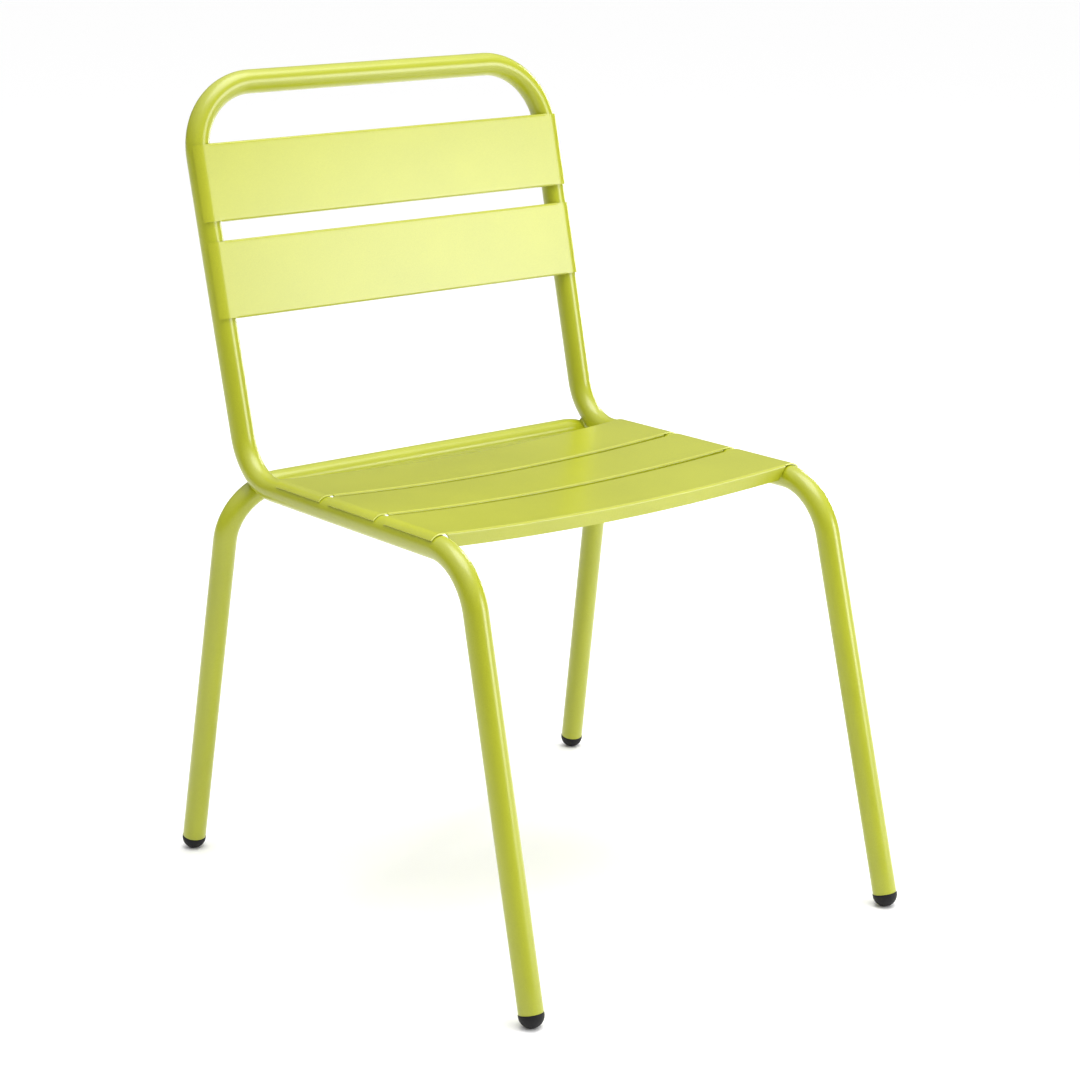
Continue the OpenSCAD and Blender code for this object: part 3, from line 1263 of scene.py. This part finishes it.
@dataclass(frozen=True)
class Placement:
    """Where a slat's own X, Y and Z lie in the chair.

    Attributes:
        origin: The slat's origin.
        along: Direction along the tubes.
        outward: Direction out of the slat's face.
    """

    origin: Array
    along: Array
    outward: Array

    def place(self, surface: Surface) -> Surface:
        """Carries a surface from the slat's own frame into the chair's.

        Args:
            surface: The surface, with X across, Y along the tubes and Z outwards.

        Returns:
            The same surface in the chair's frame.
        """
        x, y, z = surface.points.T[..., None]
        moved = self.origin + x * ACROSS + y * self.along + z * self.outward
        return Surface(moved, surface.quads)

    def wedge_beads(self, centre_x: float, middle: float, tube_r: float) -> list[Surface]:
        """Makes the stitch weld of one slat on both sides, in the wedge inside each tube.

        Args:
            centre_x: Middle of the chair to the tube's centre.
            middle: Middle of the slat along the tubes, from the origin.
            tube_r: Radius of the tube.

        Returns:
            The left and the right bead.
        """
        lean = math.radians(WEDGE_LEAN)
        out = tube_r + WEDGE_OUT
        place = self.origin + self.along * middle + ACROSS * (centre_x - out * math.sin(lean))
        bead = StitchWeld(place + self.outward * (out * math.cos(lean)), self.along).surface()
        return [bead.mirrored(side) for side in Side]


@dataclass(frozen=True)
class SlatRow:
    """Slats side by side across two tubes, with their stitch welds.

    Each kind of row says its axes, where each slat starts and what each slat is.

    Attributes:
        sizes: The chair's sizes.
        names: The slats' names in order.
    """

    sizes: ChairSizes
    names: tuple[str, ...] = ()

    def make(self, shop: Workshop, label: str, corner: Array) -> None:
        """Makes the slats and the stitch welds behind them.

        Args:
            shop: Where the pieces are made.
            label: The row's name.
            corner: The tube's corner that the slats are measured from.
        """
        along, outward = self.axes
        beads = []
        for place in range(len(self.names)):
            slat = self.slat(place)
            origin = corner * (0.0, 1.0, 1.0) + along * self.start(place)
            spot = Placement(origin, along, outward)
            shop.sheet_piece(slat, spot)
            beads += spot.wedge_beads(slat.centre_x, slat.width / 2, self.sizes.tube_r)
        name, nodes = f"{label}_stitch_welds", [f"{label}_slat_welds"]
        shop.piece(name, Surface.joined(beads), [shop.finishes.weld], nodes)


@dataclass(frozen=True)
class SeatSlats(SlatRow):
    """The dished seat: three slats across the side rails, in order from the front.

    Attributes:
        gap: Gap between slats.
        reach: How far the front slat reaches past the rail's straight.
        margin: Rail left free behind the rear slat.
        dip: How far the seat dips.
        wrap: Hook angle in degrees.
        fold: Depth of the turned-down edges.
        taper: Cut-back of each hook's rear corner.
    """

    names: tuple[str, ...] = ("front", "middle", "rear")
    gap: float = 9 * MM
    reach: float = 9 * MM
    margin: float = 13.5 * MM
    dip: float = 8 * MM
    wrap: float = 50.0
    fold: float = 14.5 * MM
    taper: float = 7 * MM

    @property
    def axes(self) -> tuple[Array, Array]:
        """Returns the directions along the rail and out of the seat."""
        a = self.sizes.rail_slope
        return np.array([0, math.cos(a), -math.sin(a)]), np.array([0, math.sin(a), math.cos(a)])

    @property
    def rail_span(self) -> tuple[float, float]:
        """Returns where the rail's straight starts and ends, from the front corner."""
        s = self.sizes
        way = unit(np.diff(s.main_corners, axis=0))
        turn = np.arccos(dot(way[:-1], way[1:])[:, 0])
        cut = np.array(s.bends) * np.tan(turn / 2)
        return float(cut[2]), math.hypot(s.seat_depth, s.seat_drop) - float(cut[1])

    @property
    def slat_width(self) -> float:
        """Returns the size of a slat along the rail."""
        start, end = self.rail_span
        room = end - start + self.reach - self.margin
        return (room - (len(self.names) - 1) * self.gap) / len(self.names)

    def start(self, place: int) -> float:
        """Returns where a slat starts along the rail."""
        return self.rail_span[0] - self.reach + place * (self.slat_width + self.gap)

    def slat(self, place: int) -> Slat:
        """Describes one slat.

        Args:
            place: Its number, counted from the front.

        Returns:
            The slat.
        """
        s = self.sizes
        label = self.names[place]
        return Slat(
            name=f"seat_sheet_{label}",
            node=f"seat_slat_{label}",
            centre_x=s.rail_x,
            hook_r=s.tube_r + s.slat_fit,
            wrap=self.wrap,
            dip=self.dip,
            width=self.slat_width,
            fold=self.fold,
            sheet=s.sheet,
            taper=self.taper,
        )

    def build(self, shop: Workshop) -> None:
        """Makes the slats and the stitch welds under them."""
        self.make(shop, "seat", self.sizes.front_corner)


@dataclass(frozen=True)
class BackSlats(SlatRow):
    """The backrest: two flat slats across the posts, in order from the top.

    Attributes:
        height: Height of a slat.
        gap: Gap between the slats.
        drop: Top rail down to the upper slat, along the post.
        wrap: Hook angle in degrees.
        fold: Depth of the turned-back edges.
        fold_end_low: How far inside the post's centre the free edge of a fold ends.
    """

    names: tuple[str, ...] = ("upper", "lower")
    height: float = 81 * MM
    gap: float = 19.5 * MM
    drop: float = 61.5 * MM
    wrap: float = 50.0
    fold: float = 10 * MM
    fold_end_low: float = 15.5 * MM

    @property
    def axes(self) -> tuple[Array, Array]:
        """Returns the directions up the post and out of the back's front face."""
        a = self.sizes.post_lean
        return np.array([0, math.sin(a), math.cos(a)]), np.array([0, -math.cos(a), math.sin(a)])

    def start(self, place: int) -> float:
        """Returns how far up the post a slat starts, from the rear corner."""
        top = self.sizes.post_length - self.drop - self.height
        return top - place * (self.height + self.gap)

    def post_x(self, place: int) -> float:
        """Returns the post's distance from the middle at the slat's mid-height."""
        s = self.sizes
        return s.rail_x + s.post_splay * (self.start(place) + self.height / 2) / s.post_length

    def slat(self, place: int) -> Slat:
        """Describes one slat.

        Args:
            place: Its number, counted from the top.

        Returns:
            The slat.
        """
        s = self.sizes
        drift = s.post_splay * self.height / (2 * s.post_length)
        label = self.names[place]
        return Slat(
            name=f"back_sheet_{label}",
            node=f"back_slat_{label}",
            centre_x=self.post_x(place),
            hook_r=s.tube_r + s.slat_fit + drift,
            wrap=self.wrap,
            dip=0.0,
            width=self.height,
            fold=self.fold,
            sheet=s.sheet,
            fold_end_low=self.fold_end_low,
        )

    def build(self, shop: Workshop) -> None:
        """Makes the slats and the stitch welds behind them."""
        self.make(shop, "back", self.sizes.rear_corner)


# ---------------------------------------------------------------- welds


@dataclass(frozen=True)
class StitchWeld:
    """A short rippled bead.

    Attributes:
        centre: Its middle.
        along: Its direction.
        length: Its length.
        radius: Its radius at the middle.
        ripple: Height of the ripples.
        pitch: Distance between ripples.
        rings: Rings along the bead.
        around: Points round it.
    """

    centre: Array
    along: Array
    length: float = 22 * MM
    radius: float = 1.7 * MM
    ripple: float = 0.16 * MM
    pitch: float = 1.5 * MM
    rings: int = 90
    around: int = 18

    def surface(self) -> Surface:
        """Carries a ring along the bead, with a rounded end at each pole.

        The radius is r (1 - |t|^4)^(1/2), with t from -1 to 1 along the bead, plus a ripple
        that rises slowly and falls fast.

        Returns:
            The closed bead.
        """
        t = np.sin(np.linspace(-math.pi / 2, math.pi / 2, self.rings))
        place = t * self.length / 2
        ripple = self.ripple * np.mod(place / self.pitch, 1.0)
        radius = (self.radius + ripple) * np.sqrt(np.maximum(1.0 - t**4, 0.0))
        grid = ring_grid(self.centre, self.along, ACROSS, place, radius, self.around)
        return Surface.of_grid(grid, wrap_columns=True)


@dataclass(frozen=True)
class JointWeld:
    """The bead that fills the wedge where two crossing tubes almost touch.

    Attributes:
        first: The first tube's centre line on the right-hand side.
        second: The second tube's centre line on the same side.
        tube_r: Radius of both tubes.
        reach: Mean distance of the bead's face from the closest point.
        ripple: Height of its ripples.
        ripples: Number of ripples round the joint.
        sink: How far the bead's toes sink into the tubes.
        bulge: How far its face swells outwards, as a share of its reach.
        around: Points round the joint.
        window: Points of each centre line, either way, that the walls are measured from.
        rounds: Number of times that the heights are corrected.
    """

    first: Line
    second: Line
    tube_r: float
    reach: float = 8.2 * MM
    ripple: float = 0.35 * MM
    ripples: int = 30
    sink: float = 0.25 * MM
    bulge: float = 0.05
    around: int = 120
    window: int = 24
    rounds: int = 12

    def closest(self) -> tuple[int, int]:
        """Returns the two points' numbers where the right-hand halves come closest."""
        apart = np.linalg.norm(self.first.at[:, None] - self.second.at[None], axis=-1)
        apart = apart + (self.first.at[:, None, 0] < 0) + (self.second.at[None, :, 0] < 0)
        i, j = np.unravel_index(np.argmin(apart), apart.shape)
        return int(i), int(j)

    def wall_height(self, line: Line, near: int, frame: Array, flat: Array) -> Array:
        """Finds how far above a plane a tube's wall is.

        A ray from each point of the plane, square to it, is followed to where it is one tube
        radius from the line: its distance to the line's nearest point is taken, and the ray is
        moved on by what is missing, a few times over.

        Args:
            line: The tube's centre line.
            near: Number of its point next to the plane.
            frame: The plane's middle, two directions in it and the direction to the tube.
            flat: Points of the plane, in its own two directions.

        Returns:
            The heights.
        """
        middle, u, v, up = frame
        window = line.at[max(0, near - self.window) : near + self.window + 1]
        base = middle + flat[:, :1] * u + flat[:, 1:] * v
        height = np.zeros(len(flat))
        for _ in range(self.rounds):
            spot = base + height[:, None] * up
            gap = np.linalg.norm(spot[:, None] - window[None], axis=-1).min(axis=1) - self.tube_r
            height = height + np.clip(gap, -1 * MM, 1 * MM)
        return height + self.sink

    def surface(self) -> Surface:
        """Works out the bead as rings round the line of closest approach.

        Each ring goes out along one tube's wall, across the bead's face and back along the
        other tube's wall, and both of its ends are poles on the line of closest approach.

        Returns:
            The closed bead.
        """
        i, j = self.closest()
        a, b = self.first.at[i], self.second.at[j]
        up = unit(a - b)
        u = unit(np.cross(up, ACROSS))
        v = np.cross(up, u)
        angle = np.linspace(0.0, 2 * math.pi, self.around, endpoint=False)
        step = np.mod(angle * self.ripples / (2 * math.pi), 1.0)
        edge = self.reach + self.ripple * step * (1.0 - step) * 4.0
        share = np.array([0.0, 0.25, 0.5, 0.75, 0.9])
        face = np.linspace(0.0, 1.0, 9)
        swell = 1.0 + self.bulge * np.sin(math.pi * face)
        out = np.concatenate([share, swell, share[::-1]])[:, None] * edge
        lift = np.concatenate([np.ones(len(share)), 1.0 - face, np.zeros(len(share))])[:, None]
        flat = np.stack([out * np.cos(angle), out * np.sin(angle)], axis=-1).reshape(-1, 2)
        middle = (a + b) / 2
        high = self.wall_height(self.first, i, np.array([middle, u, v, up]), flat)
        low = self.wall_height(self.second, j, np.array([middle, u, v, -up]), flat)
        high, low = high.reshape(out.shape), low.reshape(out.shape)
        height = high * lift - low * (1.0 - lift)
        place = flat.reshape(*out.shape, 2)
        grid = middle + place[..., :1] * u + place[..., 1:] * v + height[..., None] * up
        return Surface.of_grid(grid, wrap_columns=True)

    def build(self, shop: Workshop) -> None:
        """Makes the bead on both sides."""
        shop.pair("joint_bead", self.surface(), shop.finishes.weld, "joint_weld")


# ---------------------------------------------------------------- foot caps


@dataclass(frozen=True)
class FootCap:
    """A moulded foot cap: a dome outside the tube and a ribbed plug inside it.

    Attributes:
        label: Which foot it is, front or rear.
        centre: Centre of the right-hand cap's dome.
        up: Direction of the leg, upwards.
        sizes: The chair's sizes.
        plug: Length of the plug.
        plug_fit: Gap between the plug's core and the bore.
        rib_fit: Gap between the ribs and the bore.
        ribs: Number of ribs.
        rib_height: Height of a rib along the plug.
        rib_slope: How far each side of a rib is slanted.
        round: Radius of the collar's top edge.
        around: Points round the cap.
        edge_steps: Points on the collar's top edge.
        dome_steps: Points from the dome's rim to its lowest point.
        shy: How much the skin stays inside the nominal dome.
    """

    label: str
    centre: Array
    up: Array
    sizes: ChairSizes
    plug: float = 20 * MM
    plug_fit: float = 1.2 * MM
    rib_fit: float = 0.05 * MM
    ribs: int = 3
    rib_height: float = 1.6 * MM
    rib_slope: float = 0.4 * MM
    round: float = 0.5 * MM
    around: int = 64
    edge_steps: int = 6
    dome_steps: int = 30
    shy: float = 0.01 * MM

    def profile(self) -> tuple[Array, Array]:
        """Works out the cap's outline from the plug's top to the dome's lowest point.

        The dome is a half circle of the cap's radius, the collar is straight with a rounded top
        edge, and each rib is a flat-topped ring with slanted sides.

        Returns:
            Radius and height along the leg, measured from the dome's centre.
        """
        s = self.sizes
        cap_r = s.tube_r + s.cap_proud - self.shy
        bore = s.tube_r - s.wall
        core, rib = bore - self.plug_fit, bore - self.rib_fit
        top = s.cap_collar + self.plug
        pitch = self.plug / (self.ribs + 1)
        mids = s.cap_collar + pitch * np.arange(self.ribs, 0, -1)[:, None]
        half = self.rib_height / 2
        flat = half - self.rib_slope
        rib_z = (mids + np.array([half, flat, -flat, -half])).ravel()
        rib_r = np.tile([core, rib, rib, core], self.ribs)
        turn = np.linspace(math.pi / 2, 0.0, self.edge_steps)
        edge_r = cap_r - self.round * (1 - np.cos(turn))
        edge_z = s.cap_collar - self.round * (1 - np.sin(turn))
        dome = np.linspace(0.0, math.pi / 2, self.dome_steps)
        r = [[0.0, core - self.round, core], rib_r, [core, core], edge_r]
        neck = s.cap_collar + s.cap_proud
        z = [[top, top, top - self.round], rib_z, [neck, s.cap_collar], edge_z]
        radius = np.concatenate([*r, cap_r * np.cos(dome)])
        height = np.concatenate([*z, -cap_r * np.sin(dome)])
        return radius, height

    def surface(self) -> Surface:
        """Turns the outline round the leg and flattens what would be below the floor.

        Returns:
            The closed cap.
        """
        radius, height = self.profile()
        grid = ring_grid(self.centre, self.up, BACKWARDS, height, radius, self.around)
        grid[..., 2] = np.maximum(grid[..., 2], 0.0)
        return Surface.of_grid(grid, wrap_columns=True)

    def build(self, shop: Workshop) -> None:
        """Makes the cap on both sides."""
        name, node = f"foot_dome_{self.label}", f"foot_cap_{self.label}"
        shop.pair(name, self.surface(), shop.finishes.cap, node)


# ---------------------------------------------------------------- the studio


@dataclass(frozen=True)
class AreaLight:
    """A soft rectangular light.

    Attributes:
        name: The light's name.
        place: Where it hangs.
        aim: What it points at.
        size: Its width and height.
        power: Its power in watts.
    """

    name: str
    place: tuple[float, float, float]
    aim: tuple[float, float, float]
    size: tuple[float, float]
    power: float

    def build(self) -> None:
        """Hangs the light."""
        data = bpy.data.lights.new(self.name, "AREA")
        data.shape = "RECTANGLE"
        data.size, data.size_y = self.size
        data.energy = self.power
        obj = linked(self.name, data)
        obj.location = self.place
        obj.rotation_euler = aim_rotation(np.array(self.place), np.array(self.aim))


def aim_rotation(place: Array, target: Array) -> tuple[float, float, float]:
    """Works out the turn that points a light from a place to a target, upright.

    Args:
        place: Where it hangs.
        target: What it points at.

    Returns:
        The turns about X, Y and Z, in radians.
    """
    way = unit(target - place)
    pitch = math.acos(float(np.clip(-way[2], -1, 1)))
    return pitch, 0.0, math.atan2(-way[0], way[1])


@dataclass(frozen=True)
class Studio:
    """A pale floor, soft lights and the camera.

    Attributes:
        floor_size: Side of the floor.
        floor_colour: Linear colour of the floor.
        sky: Strength of the white surroundings at the horizon and overhead.
        eye: Place of the camera.
        heading: Turn of the camera about the vertical, in degrees.
        tilt: How far it looks below level, in degrees.
        roll: Turn about its own axis, in degrees.
        lens: Focal length in millimetres.
        shift: Shift of the lens across and up.
    """

    floor_size: float = 40.0
    floor_colour: Colour = (0.95, 0.95, 0.95)
    sky: tuple[float, float] = (0.16, 1.95)
    eye: tuple[float, float, float] = (-1.5555, -2.0668, 1.1051)
    heading: float = -37.23
    tilt: float = 15.99
    roll: float = 0.06
    lens: float = 86.13
    shift: tuple[float, float] = (-0.0062, 0.0042)
    lights: tuple[AreaLight, ...] = (
        AreaLight("key_front_right", (2.05, -2.65, 1.05), (0.0, 0.1, 0.6), (1.2, 1.5), 54.0),
        AreaLight("top_soft", (0.3, -0.3, 3.0), (0.0, 0.0, 0.4), (2.0, 2.0), 54.0),
        AreaLight("rim_right", (2.7, 1.3, 0.9), (0.2, 0.0, 0.5), (0.3, 2.0), 26.0),
    )

    def build_floor(self) -> None:
        """Lays the floor as a four-sided sheet, which isn't part of the chair."""
        half = self.floor_size / 2
        edge = np.array([-half, half])
        x, y = np.meshgrid(edge, edge)
        points = np.stack([x, y, np.zeros_like(x)], axis=-1).reshape(-1, 3)
        mesh = bpy.data.meshes.new("floor")
        mesh.from_pydata(points.tolist(), [], [(0, 1, 3, 2)])
        maker = MaterialMaker("pale_floor")
        colour = (*self.floor_colour, 1.0)
        fill(maker.shader, {"Base Color": colour, "Roughness": 0.9, "Specular IOR Level": 0.1})
        mesh.materials.append(maker.material)
        floor = linked("floor", mesh)
        floor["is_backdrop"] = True

    def build_sky(self) -> None:
        """Surrounds the chair with white light that grows as the square of the height."""
        world = bpy.data.worlds.new("studio")
        world.use_nodes = True
        tree = NodeTree(world.node_tree)
        background = tree.tree.nodes["Background"]
        fill(background, {"Color": (1.0, 1.0, 1.0, 1.0)})
        height = tree.upwards(tree.add("ShaderNodeTexCoord").outputs["Generated"])
        strength = tree.mapped(tree.math("POWER", height, 2.0), *self.sky)
        tree.link(strength, background.inputs["Strength"])
        bpy.context.scene.world = world

    def build_camera(self) -> None:
        """Sets up the camera."""
        data = bpy.data.cameras.new("camera")
        data.lens = self.lens
        data.sensor_width = 36.0
        data.shift_x, data.shift_y = self.shift
        obj = linked("camera", data)
        obj.location = self.eye
        turns = (90.0 - self.tilt, self.roll, self.heading)
        obj.rotation_euler = tuple(math.radians(turn) for turn in turns)
        bpy.context.scene.camera = obj

    def build(self) -> None:
        """Sets up everything that isn't the chair."""
        bpy.context.scene.view_settings.view_transform = "Standard"
        self.build_floor()
        self.build_sky()
        for light in self.lights:
            light.build()
        self.build_camera()


# ---------------------------------------------------------------- the whole chair


def box_as_lists(box: tuple) -> list[list[float]]:
    """Returns a box's two corners as plain lists of numbers."""
    return [[float(c) for c in corner] for corner in box]


def main() -> dict:
    """Builds the chair in order.

    Returns:
        The CAD model's box and the finished chair's box.
    """
    logging.basicConfig(level=logging.INFO, format="%(name)s: %(message)s")
    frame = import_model()
    cad_box = box_as_lists(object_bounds())
    sizes = ChairSizes.from_frame(frame["record"]["mounts"])
    shop = Workshop(Finishes())

    tube = {"radius": sizes.tube_r, "wall": sizes.wall}
    main_tube = BentTube(
        "bent_frame_tube", "main_frame_tube", sizes.main_corners, sizes.bends, **tube
    )
    rear_tube = BentTube(
        "bent_leg_tube", "rear_leg_tube", sizes.rear_corners, (sizes.shoulder_bend,), **tube
    )
    main_tube.build(shop)
    rear_tube.build(shop)
    SeatSlats(sizes).build(shop)
    BackSlats(sizes).build(shop)
    JointWeld(main_tube.line(), rear_tube.line(), sizes.tube_r).build(shop)
    front_up = unit(sizes.front_corner - sizes.front_cap)
    rear_up = unit(sizes.shoulder - sizes.rear_cap)
    FootCap("front", sizes.front_cap, front_up, sizes).build(shop)
    FootCap("rear", sizes.rear_cap, rear_up, sizes).build(shop)
    shop.report()

    Studio().build()
    bpy.context.view_layer.update()
    both = {"cad": cad_box, "visual": box_as_lists(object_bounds())}
    LOG.info("boxes: %s", both)
    return both


if __name__ == "__main__":
    main()
